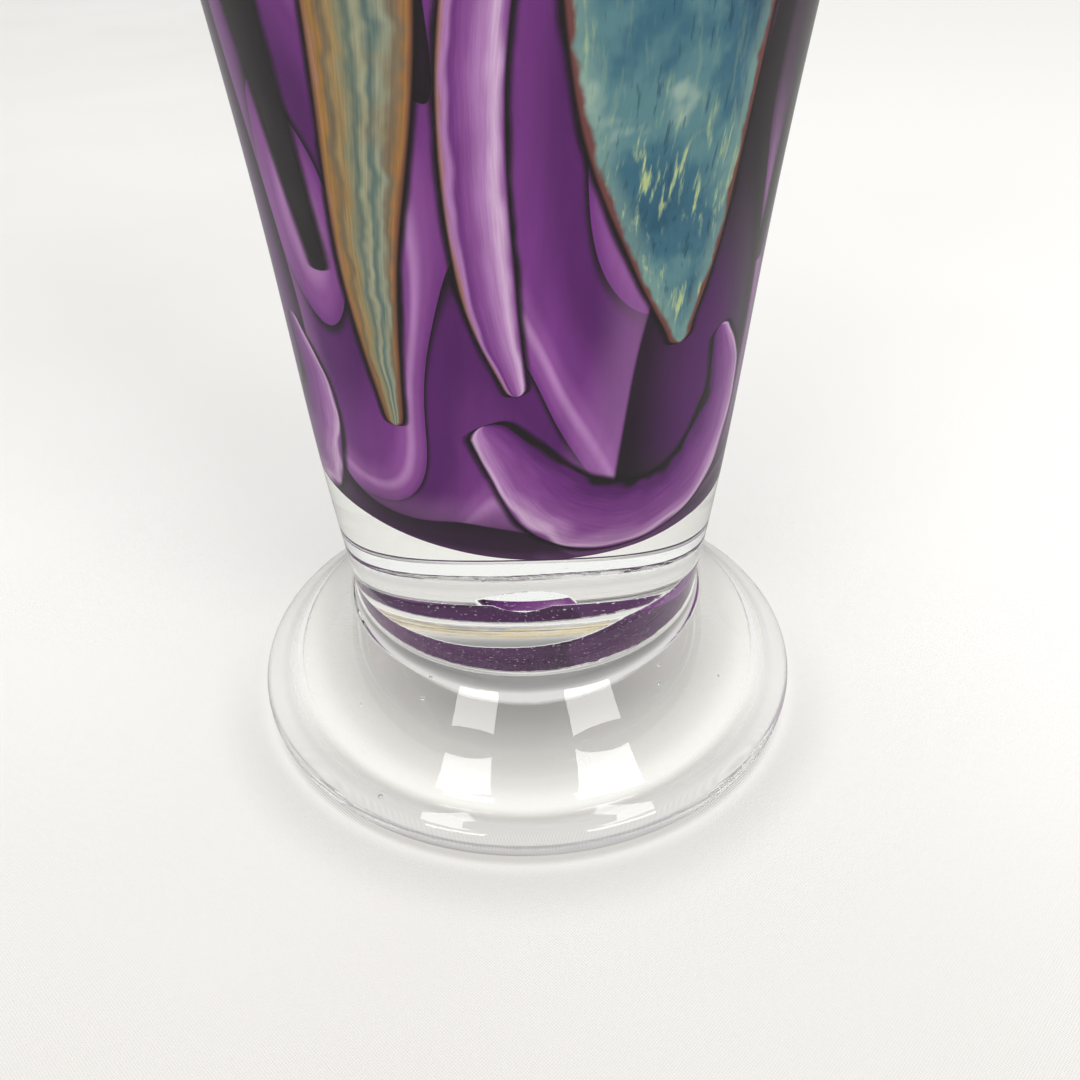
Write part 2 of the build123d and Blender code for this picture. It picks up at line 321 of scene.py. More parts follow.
class Shader(Nodes):
    """A node material."""

    def __init__(self, name):
        self.material = bpy.data.materials.new(name)
        super().__init__(self.material)

    def vector(self, operation, *values):
        made = self.tree.nodes.new("ShaderNodeVectorMath")
        made.operation = operation
        for index, value in enumerate(values):
            is_scale = operation == "SCALE" and index == 1
            self.plug(value, made.inputs["Scale" if is_scale else index])
        return made.outputs["Value" if operation == "LENGTH" else "Vector"]

    def place(self):
        return self.node("TexCoord", output="Object")

    def split(self, vector):
        """The three parts of a vector."""
        made = self.tree.nodes.new("ShaderNodeSeparateXYZ")
        self.plug(vector, made.inputs[0])
        return made.outputs["X"], made.outputs["Y"], made.outputs["Z"]

    def radius(self):
        """Distance from the vase's axis."""
        return self.vector("LENGTH", self.vector("MULTIPLY", self.place(), (1.0, 1.0, 0.0)))

    def noise(self, vector, scale, detail=2.0, roughness=0.5, output="Fac"):
        inputs = {"Vector": vector, "Scale": scale, "Detail": detail, "Roughness": roughness}
        return self.node("TexNoise", inputs, output)

    def ramp(self, factor, *stops, interpolation="LINEAR"):
        made = self.tree.nodes.new("ShaderNodeValToRGB")
        made.color_ramp.interpolation = interpolation
        elements = made.color_ramp.elements
        elements[0].position, elements[0].color = stops[0][0], (*stops[0][1], 1)
        elements[1].position, elements[1].color = stops[-1][0], (*stops[-1][1], 1)
        for position, tone in stops[1:-1]:
            elements.new(position).color = (*tone, 1)
        self.tree.links.new(factor, made.inputs["Fac"])
        return made.outputs["Color"]

    def mix(self, factor, a, b, blend="MIX"):
        """Mix of two colours: inputs 6 and 7 and output 2 are the node's colour ones."""
        made = self.tree.nodes.new("ShaderNodeMix")
        made.data_type, made.blend_type = "RGBA", blend
        for index, value in ((0, factor), (6, a), (7, b)):
            self.plug((*value, 1) if isinstance(value, tuple) else value, made.inputs[index])
        return made.outputs[2]

    def step(self, value, low, high):
        """0 below low, 1 above high, smooth between."""
        inputs = {"Value": value, "From Min": low, "From Max": high, "To Min": 0.0, "To Max": 1.0}
        return self.node("MapRange", inputs, interpolation_type="SMOOTHSTEP")

    def finish(self, surface):
        self.end("OutputMaterial", surface)
        return self.material


def colour(red, green, blue):
    """Linear colour from 0 to 255 display values."""
    shares = (red / 255, green / 255, blue / 255)
    return tuple(c / 12.92 if c <= 0.04045 else ((c + 0.055) / 1.055) ** 2.4 for c in shares)


def greys(stops):
    """Stops of a ramp from (place, tone) pairs."""
    return [(place, (tone, tone, tone)) for place, tone in stops]


def inner_colour(shader, base):
    """Coloured glass inside clear glass: no gloss of its own, because nothing changes at its surface."""
    look = {"Base Color": base, "Roughness": 0.6, "IOR": 1.0, "Specular IOR Level": 0.0}
    return shader.node("BsdfPrincipled", look)


THREAD_PITCH = 0.0007


def weave(shader):
    """Crossed threads of the cloth, from -1 to 1."""
    x, y, _ = shader.split(shader.place())
    warp = shader.math("SINE", shader.math("MULTIPLY", x, 2 * pi / THREAD_PITCH))
    weft = shader.math("SINE", shader.math("MULTIPLY", y, 2 * pi / THREAD_PITCH))
    return shader.both(warp, weft)


PASSED_LIGHT = (0.965, 0.965, 0.95)
# How far from its inside the contact ring touches the cloth fully, and where its outer part begins, which is
# painted brighter for light that the rim gathers.
PRESSED_EDGE = 0.0035
PAINTED_LIGHT_EDGE = 0.0065


def underside(shader, glass):
    """The foot's glass with the ground mark in its hollow and the cloth that its contact ring touches. The
    mark carries painted shade and a painted bright ring, and the ring's outer part carries painted light.

    Gives the surface, and the colour of the light that each part of the hollow lets through."""
    _, _, z = shader.split(shader.place())
    radius = shader.radius()
    under = shader.step(z, HOLLOW_HEIGHT + 0.0008, HOLLOW_HEIGHT + 0.0004)
    shade = shader.ramp(shader.math("DIVIDE", radius, CONTACT_INNER), *greys(HOLLOW_SHADE))
    passed = shader.mix(under, PASSED_LIGHT, shade)
    ragged = shader.math("MULTIPLY_ADD", shader.noise(shader.place(), 120.0, 2.0), 0.0010, radius)
    mark = shader.both(shader.step(ragged, PONTIL_RADIUS + 0.0024, PONTIL_RADIUS + 0.0008), 0.93)
    # Painted shade in the middle of the ground mark, and a painted bright ring of light at its edge.
    mark_painted_tone = shader.ramp(shader.math("DIVIDE", ragged, PONTIL_RADIUS), *greys(PONTIL_SHADE_AND_RING))
    pressed = shader.step(radius, CONTACT_INNER, CONTACT_INNER + PRESSED_EDGE)
    lowest = shader.step(z, 0.0007, 0.0003)
    touching = shader.both(shader.both(lowest, pressed), 0.5)
    threads = shader.math("MULTIPLY_ADD", weave(shader), 0.5, 0.5)
    cloth_tone = shader.mix(threads, colour(150, 148, 141), colour(242, 241, 236))
    # Painted light: the contact ring's outer part is painted near white, for light gathered under the rim.
    outer = shader.step(radius, CONTACT_INNER + PRESSED_EDGE, CONTACT_INNER + PAINTED_LIGHT_EDGE)
    cloth_tone = shader.mix(shader.both(outer, 0.75), cloth_tone, colour(255, 254, 250))
    frosted = shader.node("BsdfDiffuse", {"Color": shader.mix(touching, mark_painted_tone, cloth_tone)})
    covered = shader.math("MAXIMUM", shader.both(mark, under), touching)
    return shader.node("MixShader", {0: covered, 1: glass, 2: frosted}), passed


def bonded_face(shader, surface):
    """The joint's face: where glass has run together with glass, nothing is left to see of its surface.

    Along the bond's edge, right of the middle, lies a torn white lip: a painted highlight for light caught in
    the thin edge of the trapped air. A band in the front half of the land tints what is seen through it with
    painted amber and grey, for the colours above seen bent through the glass."""
    x, y, _ = shader.split(shader.place())
    depth = shader.node("Attribute", output="Fac", attribute_name="bond")
    ragged = shader.noise(shader.place(), 420.0, 3.0, 0.6)
    depth = shader.math("MULTIPLY_ADD", ragged, 1.6, shader.math("SUBTRACT", depth, 0.8))
    merged = shader.step(depth, -0.02, 0.02)
    specks = shader.step(shader.noise(shader.place(), 1500.0, 2.0), 0.66, 0.69)
    merged = shader.math("MAXIMUM", merged, specks)
    # Painted highlight: a torn white lip on the air side of the bond's edge, right of the middle.
    lip_band = shader.both(shader.step(depth, -0.36, -0.28), shader.step(depth, -0.02, -0.06))
    torn = shader.step(shader.noise(shader.place(), 240.0, 2.0), 0.45, 0.49)
    painted_glint_lip = shader.both(shader.both(lip_band, torn), shader.step(x, 0.004, 0.012))
    white = shader.node("BsdfDiffuse", {"Color": (0.95, 0.95, 0.93, 1)})
    surface = shader.node("MixShader", {0: painted_glint_lip, 1: surface, 2: white})
    # Painted refraction: amber and grey drawn out across the front half of the land, for the colours above
    # seen bent through the glass.
    drawn = shader.noise(shader.vector("MULTIPLY", shader.place(), (45.0, 620.0, 1.0)), 1.0, 3.0, 0.6)
    streaks = shader.ramp(
        drawn,
        (0.40, (1.0, 1.0, 1.0)), (0.45, (0.99, 0.90, 0.70)), (0.51, (1.0, 0.97, 0.90)),
        (0.56, (0.97, 0.86, 0.62)), (0.60, (0.52, 0.56, 0.70)), (0.66, (1.0, 1.0, 1.0)),
    )
    painted_refraction_band = shader.both(shader.step(y, -0.0170, -0.0150), shader.step(y, -0.0075, -0.0100))
    gone = shader.node("BsdfTransparent", {"Color": shader.mix(painted_refraction_band, (1.0, 1.0, 1.0), streaks)})
    return shader.node("MixShader", {0: merged, 1: surface, 2: gone})


def clear_glass(name, tint=(0.992, 0.992, 0.978), bonded=False, hollow=False):
    """Thick clear glass. Lamps and bounced light go straight through it, what is seen through it is bent."""
    shader = Shader(name)
    waves = shader.noise(shader.place(), 55.0, 1.0)
    bump = shader.node("Bump", {"Strength": 0.02, "Distance": 0.001, "Height": waves})
    look = {
        "Base Color": (*tint, 1), "Roughness": 0.0, "IOR": 1.5, "Transmission Weight": 1.0, "Normal": bump,
    }
    surface = shader.node("BsdfPrincipled", look)
    passed = (*PASSED_LIGHT, 1)
    if hollow:
        surface, passed = underside(shader, surface)
    straight = shader.node("BsdfTransparent", {"Color": passed})
    lets_light = shader.math("MAXIMUM", shader.ray("Shadow"), shader.ray("Diffuse"))
    surface = shader.node("MixShader", {0: lets_light, 1: surface, 2: straight})
    if bonded:
        surface = bonded_face(shader, surface)
    return shader.finish(surface)


BLACK = colour(22, 17, 20)
AUBERGINE = colour(66, 46, 72)
DEEP_PURPLE = colour(78, 26, 92)
PURPLE = colour(104, 46, 118)
VIOLET = colour(126, 68, 137)
LAVENDER = colour(162, 114, 170)
PALE_LAVENDER = colour(194, 160, 198)


def drawn_grain(shader, place, base, strength):
    """Fine lines drawn out along the fold, and a little soft cloud, over a coloured glass."""
    fine = shader.noise(shader.vector("MULTIPLY", place, (1.0, 1.0, 0.3)), 170.0, 4.0, 0.62)
    fine = shader.ramp(fine, (0.3, (0.34, 0.33, 0.34)), (0.7, (0.74, 0.7, 0.74)))
    soft = shader.noise(shader.vector("MULTIPLY", place, (1.0, 1.0, 0.45)), 55.0, 2.0)
    soft = shader.ramp(soft, (0.3, (0.32, 0.3, 0.32)), (0.7, (0.7, 0.68, 0.7)))
    return shader.mix(0.3, shader.mix(strength, base, fine, "OVERLAY"), soft, "SOFT_LIGHT")


def purple_field():
    """Purple glass in two sheets of soft folds, each from a dark seam over a light edge into deep purple."""
    shader = Shader("purple_field")
    place = shader.vector("MULTIPLY", shader.place(), (1.0, 1.0, 0.5))
    drift = shader.vector("SUBTRACT", shader.noise(place, 17.0, 1.0, 0.4, output="Color"), (0.5, 0.5, 0.5))
    warped = shader.vector("ADD", place, shader.vector("SCALE", drift, 0.05))
    fold = shader.math("FRACT", shader.math("MULTIPLY", shader.noise(warped, 13.0, 1.0, 0.35), 5.5))
    lower = shader.ramp(
        fold,
        (0.0, VIOLET), (0.04, LAVENDER), (0.12, VIOLET), (0.34, PURPLE),
        (0.64, DEEP_PURPLE), (0.86, AUBERGINE), (0.95, BLACK), (1.0, BLACK),
        interpolation="EASE",
    )
    aside = shader.vector("ADD", warped, (0.37, 0.11, 0.23))
    fold = shader.math("FRACT", shader.math("MULTIPLY", shader.noise(aside, 15.0, 1.0, 0.3), 6.5))
    upper = shader.ramp(
        fold,
        (0.0, PURPLE), (0.10, VIOLET), (0.20, LAVENDER), (0.27, VIOLET),
        (0.42, PURPLE), (0.80, DEEP_PURPLE), (0.93, DEEP_PURPLE), (1.0, BLACK),
        interpolation="EASE",
    )
    sheet = shader.noise(shader.vector("ADD", warped, (0.05, 0.61, 0.42)), 12.0, 1.5, 0.35)
    shadow = shader.both(shader.step(sheet, 0.425, 0.497), 0.92)
    lower = shader.mix(shadow, lower, BLACK)
    edge_light = shader.both(shader.step(sheet, 0.56, 0.505), 0.40)
    upper = shader.mix(edge_light, upper, LAVENDER)
    base = shader.mix(shader.step(sheet, 0.499, 0.503), lower, upper)
    dusk = shader.noise(shader.vector("ADD", warped, (0.83, 0.27, 0.55)), 9.0, 2.0, 0.45)
    base = shader.mix(shader.both(shader.step(dusk, 0.46, 0.66), 0.85), base, AUBERGINE)
    base = drawn_grain(shader, warped, base, 0.34)
    # Painted shade: towards its bottom the colour is evened to a darker purple, darkest in a band where it
    # turns under.
    _, _, z = shader.split(shader.place())
    low = shader.step(z, COLOUR_BOTTOM + 0.018, COLOUR_BOTTOM + 0.006)
    base = shader.mix(shader.both(low, 0.72), base, colour(90, 54, 98))
    painted_shade_under = shader.both(
        shader.step(z, COLOUR_BOTTOM + 0.024, COLOUR_BOTTOM + 0.011),
        shader.step(z, COLOUR_BOTTOM + 0.004, COLOUR_BOTTOM + 0.009),
    )
    base = shader.mix(shader.both(painted_shade_under, 0.7), base, colour(36, 24, 38))
    return shader.finish(inner_colour(shader, base))


def ribbon_coordinates(shader):
    """Place on the ribbon, share of the way across it, and distance from its edge in millimetres."""
    uv = shader.node("UVMap", uv_map="Ribbon")
    _, across, _ = shader.split(uv)
    edge = shader.node("Attribute", output="Fac", attribute_name="edge")
    return uv, across, edge


def drawn_out(shader, uv, along, across, detail=3.0, roughness=0.55):
    """Noise stretched along the ribbon, as colour is when hot glass is pulled."""
    stretched = shader.vector("MULTIPLY", uv, (along, across, 1.0))
    return shader.noise(stretched, 1.0, detail, roughness)


def seamed(shader, base, edge, width=1.6):
    """Coloured ribbon with dark glass that has been pushed up around its edge, fading out over the field."""
    seam = shader.step(edge, -0.25, 0.45)
    solid = inner_colour(shader, shader.mix(seam, BLACK, base))
    clear = shader.node("BsdfTransparent", {"Color": (1, 1, 1, 1)})
    wander = shader.noise(shader.place(), 90.0, 2.0)
    reach = shader.math("MULTIPLY_ADD", wander, 1.4, shader.math("ADD", edge, width - 0.7))
    covers = shader.step(reach, 0.0, width)
    return shader.finish(shader.node("MixShader", {0: covers, 1: clear, 2: solid}))


def fold_glass(name, *stops, streak=0.35, drift=0.22):
    """A folded ribbon: its colours run across it, drift along it, and end in a dark seam at both edges."""
    shader = Shader(name)
    uv, across, edge = ribbon_coordinates(shader)
    wander = drawn_out(shader, uv, 9.0, 2.0, 1.0)
    shifted = shader.math("MULTIPLY_ADD", shader.math("SUBTRACT", wander, 0.5), drift * 2, across)
    base = shader.ramp(shifted, *stops, interpolation="EASE")
    fine = drawn_out(shader, uv, 14.0, 30.0, 4.0, 0.62)
    fine = shader.ramp(fine, (0.3, (0.3, 0.3, 0.3)), (0.7, (0.8, 0.76, 0.8)))
    return seamed(shader, shader.mix(streak, base, fine, "OVERLAY"), edge)


def teal_glass():
    """Teal glass with drawn flecks of yellow-green and pale grey, and a thin rust line round its edge."""
    shader = Shader("teal_glass")
    _, _, edge = ribbon_coordinates(shader)
    place = shader.place()
    bend = shader.vector("SCALE", shader.noise(place, 24.0, 1.0, output="Color"), 0.010)
    bent = shader.vector("ADD", place, bend)
    base = shader.ramp(
        shader.noise(bent, 42.0, 4.0, 0.62),
        (0.30, colour(34, 74, 98)), (0.48, colour(54, 98, 118)), (0.60, colour(84, 124, 132)),
        (0.72, colour(150, 172, 164)),
        interpolation="EASE",
    )
    drawn = {"Vector": bent, "Rotation": (0.0, 0.7, 0.3), "Scale": (620.0, 620.0, 110.0)}
    flecks = shader.noise(shader.node("Mapping", drawn), 1.0, 3.0, 0.6)
    zone = shader.step(shader.noise(place, 46.0, 1.0), 0.42, 0.60)
    light = shader.both(shader.step(flecks, 0.53, 0.66), shader.math("MULTIPLY_ADD", zone, 0.75, 0.15))
    base = shader.mix(light, base, colour(150, 170, 138))
    bright = shader.both(shader.step(flecks, 0.61, 0.67), shader.both(zone, 0.9))
    base = shader.mix(bright, base, colour(172, 186, 128))
    dark = shader.step(flecks, 0.42, 0.34)
    base = shader.mix(shader.both(dark, 0.55), base, colour(24, 52, 74))
    wander = shader.noise(place, 200.0, 3.0)
    ragged = shader.math("MULTIPLY_ADD", wander, 2.6, shader.math("SUBTRACT", edge, 1.3))
    pale_rim = shader.both(shader.step(ragged, 5.0, 1.5), 0.35)
    base = shader.mix(pale_rim, base, colour(140, 166, 150))
    rust = shader.step(ragged, 1.5, 0.5)
    return seamed(shader, shader.mix(rust, base, colour(104, 60, 58)), edge)


def amber_glass():
    """Stripes of amber, olive, teal and grey drawn out along the piece, with a thin rust edge."""
    shader = Shader("amber_glass")
    uv, across, edge = ribbon_coordinates(shader)
    wander = drawn_out(shader, uv, 11.0, 1.2, 2.0)
    lanes = shader.math("MULTIPLY_ADD", shader.math("SUBTRACT", wander, 0.5), 0.38, across)
    base = shader.ramp(
        lanes,
        (0.04, colour(150, 108, 64)), (0.14, colour(112, 100, 84)), (0.24, colour(136, 142, 126)),
        (0.34, colour(88, 108, 106)), (0.42, colour(146, 148, 126)), (0.52, colour(94, 108, 102)),
        (0.60, colour(126, 126, 104)), (0.70, colour(148, 126, 88)), (0.80, colour(110, 98, 80)),
        (0.90, colour(150, 112, 62)), (0.97, colour(152, 112, 96)),
        interpolation="EASE",
    )
    fine = drawn_out(shader, uv, 9.0, 34.0, 4.0, 0.65)
    fine = shader.ramp(fine, (0.3, (0.3, 0.28, 0.26)), (0.7, (0.78, 0.74, 0.66)))
    base = shader.mix(0.5, base, fine, "OVERLAY")
    blots = shader.noise(shader.place(), 60.0, 3.0)
    base = shader.mix(shader.both(shader.step(blots, 0.52, 0.68), 0.45), base, colour(140, 106, 62))
    rust = shader.step(shader.math("MULTIPLY_ADD", blots, 1.2, edge), 1.7, 0.8)
    return seamed(shader, shader.mix(rust, base, colour(112, 72, 54)), edge)


def dark_glass(name, base, ribbon_edge=False):
    """Dark opaque glass with faint soft clouds."""
    shader = Shader(name)
    clouds = shader.noise(shader.place(), 70.0, 3.0)
    lighter = tuple(min(1.0, c * 1.8 + 0.004) for c in base)
    base = shader.mix(shader.step(clouds, 0.35, 0.7), base, lighter)
    if not ribbon_edge:
        return shader.finish(inner_colour(shader, base))
    _, _, edge = ribbon_coordinates(shader)
    return seamed(shader, base, edge, 2.6)


# ---------------------------------------------------------------- ribbons of colour
ACROSS_STEPS = np.array([-1, -0.97, -0.9, -0.78, -0.6, -0.4, -0.2, 0, 0.2, 0.4, 0.6, 0.78, 0.9, 0.97, 1])
# Dark glass that reaches past the edge of a ribbon, in metres.
SKIRT_STEPS = (0.0005, 0.0011, 0.0018, 0.0026)
SPINE_STEPS = 14
TIP_STEPS = 6
TIP_WIDTH = 1e-5
RIBBON_UV_SCALE = 10
# A ribbon stands proud of the field by its lift, and along its middle by its crown as well.
RIBBON_LIFT = 0.00007
RIBBON_CROWN = 0.00025


def colour_surface(across, z, lift):
    """How far out the colour's outer surface lies, raised by lift, behind a point of its flat drawing."""
    corner_top = COLOUR_BOTTOM + BUBBLE_CORNER
    wall_r = body_radius(np.maximum(z, corner_top)) - CASING_WALL
    drop = np.clip(corner_top - z, 0, BUBBLE_CORNER)
    r = wall_r - BUBBLE_CORNER + np.sqrt(BUBBLE_CORNER**2 - drop**2) + lift
    return np.sqrt(np.maximum(r**2 - across**2, 0))


def smooth_spine(points):
    """Catmull-Rom curve through (across, z, half width)."""
    p = np.array(points, float)
    p = np.vstack([p[0], p, p[-1]])
    rows = []
    for a, b, c, d in zip(p, p[1:], p[2:], p[3:]):
        for t in np.arange(SPINE_STEPS) / SPINE_STEPS:
            rows.append(cubic(t, b, c, (c - a) / 2, (d - b) / 2))
    return np.vstack([rows, p[-2]])


def round_tip(end, outward_run, run):
    """Rows of a ribbon's round end, from its point to its full width."""
    rows = []
    for k in range(TIP_STEPS):
        share = k / TIP_STEPS
        centre = end[:2] + outward_run * end[2] * sqrt(1 - share**2)
        rows.append((*centre, max(end[2] * share, TIP_WIDTH), *run))
    return rows


def ribbon(name, points, direction, mirrored):
    """A strip of coloured glass on the colour's surface, drawn flat as (across, z, half width)."""
    spine = smooth_spine([(-x if mirrored else x, z, half) for x, z, half in points])
    run = np.gradient(spine[:, :2], axis=0)
    run /= np.linalg.norm(run, axis=1)[:, None]
    first_tip = round_tip(spine[0], -run[0], run[0])
    last_tip = round_tip(spine[-1], run[-1], run[-1])
    rows = np.array(first_tip + [(*s, *r) for s, r in zip(spine, run)] + last_tip[::-1])
    length = np.concatenate([[0], np.cumsum(np.linalg.norm(np.diff(rows[:, :2], axis=0), axis=1))])
    half_full = min(spine[0, 2], spine[-1, 2])
    turn = radians(direction)
    outward = np.array([sin(turn), -cos(turn), 0])
    right = np.array([cos(turn), sin(turn), 0])
    vertices, uvs, edges = [], [], []
    for (x, z, half, run_x, run_z), along in zip(rows, length):
        outer = half + np.array(SKIRT_STEPS) * min(1.0, half / half_full)
        for offset in np.concatenate([-outer[::-1], ACROSS_STEPS * half, outer]):
            sx, sz = x + run_z * offset, z - run_x * offset
            v = min(1.0, abs(offset) / half)
            reach = colour_surface(sx, sz, RIBBON_LIFT + RIBBON_CROWN * (1 - v**3))
            vertices.append(right * sx + outward * reach + np.array([0, 0, sz]))
            uvs.append((along * RIBBON_UV_SCALE, offset / half / 2 + 0.5))
            edges.append((half - abs(offset)) * 1000)
    width = len(ACROSS_STEPS) + 2 * len(SKIRT_STEPS)
    faces = [
        (i * width + j, (i + 1) * width + j, (i + 1) * width + j + 1, i * width + j + 1)
        for i in range(len(rows) - 1)
        for j in range(width - 1)
    ]
    obj = add_mesh(name, vertices, faces)
    layer_uv = obj.data.uv_layers.new(name="Ribbon")
    for loop in obj.data.loops:
        layer_uv.data[loop.index].uv = uvs[loop.vertex_index]
    attribute = obj.data.attributes.new("edge", "FLOAT", "POINT")
    attribute.data.foreach_set("value", edges)
    return obj


# ---------------------------------------------------------------- the vase
OUTSIDE = wall(0.0, JOINT_HEIGHT, BLOCK_EDGE_ROUND)
GROUND_INSET = CASING_WALL + COLOUR_THICKNESS
GATHER_INSET = GROUND_INSET + GROUND_THICKNESS
GROUND_BOTTOM = COLOUR_BOTTOM + COLOUR_THICKNESS
GATHER_BOTTOM = GROUND_BOTTOM + GROUND_THICKNESS
GROUND_CORNER = BUBBLE_CORNER - COLOUR_THICKNESS
GATHER_CORNER = GROUND_CORNER - GROUND_THICKNESS
COLOUR_HEIGHT = VASE_HEIGHT - TOTAL_WALL - COLOUR_BOTTOM

# The flat face of the block at the joint, and how near to it a point counts as on it.
DISC_RADIUS = JOINT_RADIUS - BLOCK_EDGE_ROUND
DISC_RINGS = np.linspace(0, DISC_RADIUS, 110)
DISC_SEGMENTS = 384
ON_FACE = 1e-5
# Small clearances: under the contact ring, and between foot and block at the bonded ring and at the collar.
FLOOR_CLEARANCE = 0.00006
RING_GAP = 0.00003
COLLAR_GAP = 0.00002
COLLAR_EDGE = 0.0003
# Bond between block and foot: the gap where air keeps them apart, and the inside of the bonded ring.
BOND_GAP = 0.0003
BOND_RING = DISC_RADIUS - 0.0016
# The land, which is bonded too: its centre, and its reach every 30 degrees from +X towards +Y.
LAND_CENTRE = (-0.005, -0.001)
LAND_REACH = np.array([28, 47, 33, 28, 28, 31, 29, 26.5, 25.5, 24.5, 25, 24]) / 1000
LAND_STEP = 30
# A closed pocket of air in the land.
POCKET_CENTRE = (0.0, 0.009)
POCKET_TURN = radians(80)
POCKET_HALF = (0.008, 0.0072)
POCKET_RAMP = 0.00475
# A shallow sheet of air left and right of the pocket.
SHEET_CENTRE = (-0.0055, 0.0002)
SHEET_HALF = (0.028, 0.0046)
SHEET_SLOPE = 0.21
# Roof of the air round the land: its dome at the back, its slope at the front, its fall at the land.
VOID_RISE = 0.0022
VOID_SLOPE = 0.09
VOID_FALL = 2.5
BACK_START = 0.012
BACK_BLEND = 0.008


def pocket_depth(x, y):
    """Distance from the pocket's centre, 1 at its edge. The pocket is a lens with pointed ends."""
    px, py = x - POCKET_CENTRE[0], y - POCKET_CENTRE[1]
    along = px * cos(POCKET_TURN) + py * sin(POCKET_TURN)
    across = -px * sin(POCKET_TURN) + py * cos(POCKET_TURN)
    return np.abs(along) / POCKET_HALF[0] + (across / POCKET_HALF[1]) ** 2


def sheet_depth(x, y):
    """Distance from the air sheet's centre, 1 at its edge."""
    return np.hypot((x - SHEET_CENTRE[0]) / SHEET_HALF[0], (y - SHEET_CENTRE[1]) / SHEET_HALF[1])


def bond_depth(x, y):
    """How far inside bonded glass a point of the joint lies, in millimetres, negative over trapped air."""
    dx, dy = x - LAND_CENTRE[0], y - LAND_CENTRE[1]
    turn = (np.degrees(np.arctan2(dy, dx)) % 360) / LAND_STEP
    low = np.floor(turn).astype(int) % len(LAND_REACH)
    high = (low + 1) % len(LAND_REACH)
    reach = cubic(turn - np.floor(turn), LAND_REACH[low], LAND_REACH[high], 0, 0)
    land = reach - np.hypot(dx, dy)
    pocket = (pocket_depth(x, y) - 1) * POCKET_HALF[1]
    sheet = (sheet_depth(x, y) - 1) * SHEET_HALF[1]
    ring = np.hypot(x, y) - BOND_RING
    return np.maximum(np.minimum(np.minimum(land, pocket), sheet), ring) * 1000


def mark_bond(obj, low, high):
    """Stores the bond's depth on a glass piece, and gives its faces on the joint the second material."""
    mesh = obj.data
    co = np.array([v.co for v in mesh.vertices])
    depth = bond_depth(co[:, 0], co[:, 1])
    mesh.attributes.new("bond", "FLOAT", "POINT").data.foreach_set("value", depth)
    for face in mesh.polygons:
        heights = [mesh.vertices[i].co.z for i in face.vertices]
        reach = max(Vector(mesh.vertices[i].co).xy.length for i in face.vertices)
        if low <= min(heights) and max(heights) <= high and reach < DISC_RADIUS + ON_FACE:
            face.material_index = 1


def near_edge(x, centre, half_wide, half_deep):
    """Y of the front edge of an ellipse of air at x."""
    share = (x - centre[0]) / half_wide
    return centre[1] - half_deep * np.sqrt(np.clip(1 - share**2, 0, 1))


def raise_void_roof(obj):
    """Lifts the block's bottom over trapped air: it rises inwards from the ring and falls at the land."""
    co = np.array([v.co for v in obj.data.vertices])
    x, y, z = co.T
    radius = np.hypot(x, y)
    on_joint = (np.abs(z - JOINT_HEIGHT) < ON_FACE) & (radius < DISC_RADIUS + ON_FACE)
    fall = VOID_FALL * np.clip(-bond_depth(x, y) / 1000, 0, None)
    dome = VOID_RISE * (1 - (radius / BOND_RING) ** 2)
    ramp = VOID_SLOPE * (y + np.sqrt(np.clip(BOND_RING**2 - x**2, 0, None)))
    back = np.clip((y - BACK_START) / BACK_BLEND, 0, 1)
    roof = ramp * (1 - back) + dome * back
    sheet = SHEET_SLOPE * (y - near_edge(x, SHEET_CENTRE, *SHEET_HALF))
    roof = np.where(sheet_depth(x, y) < 1, sheet, roof)
    from_edge = y - near_edge(x, POCKET_CENTRE, POCKET_HALF[0], POCKET_RAMP)
    roof = np.where(pocket_depth(x, y) < 1, SHEET_SLOPE * np.minimum(from_edge, POCKET_RAMP), roof)
    co[on_joint, 2] += np.clip(np.minimum(roof, fall), 0, None)[on_joint]
    obj.data.vertices.foreach_set("co", co.ravel())


def casing():
    """Clear casing and the solid block below the colour."""
    inner = wall(CASING_WALL, COLOUR_BOTTOM + SINK, BUBBLE_CORNER - SINK, sink=SINK)
    disc = np.column_stack([DISC_RINGS, np.full(len(DISC_RINGS), JOINT_HEIGHT)])
    outer = np.vstack([disc, OUTSIDE[OUTSIDE[:, 0] > DISC_RADIUS + ON_FACE]])
    obj = lathe("clear_casing_glass", shell_section(outer, inner, (0.0, CASING_WALL)), DISC_SEGMENTS)
    mark_bond(obj, JOINT_HEIGHT - ON_FACE, JOINT_HEIGHT + ON_FACE)
    raise_void_roof(obj)
    return obj


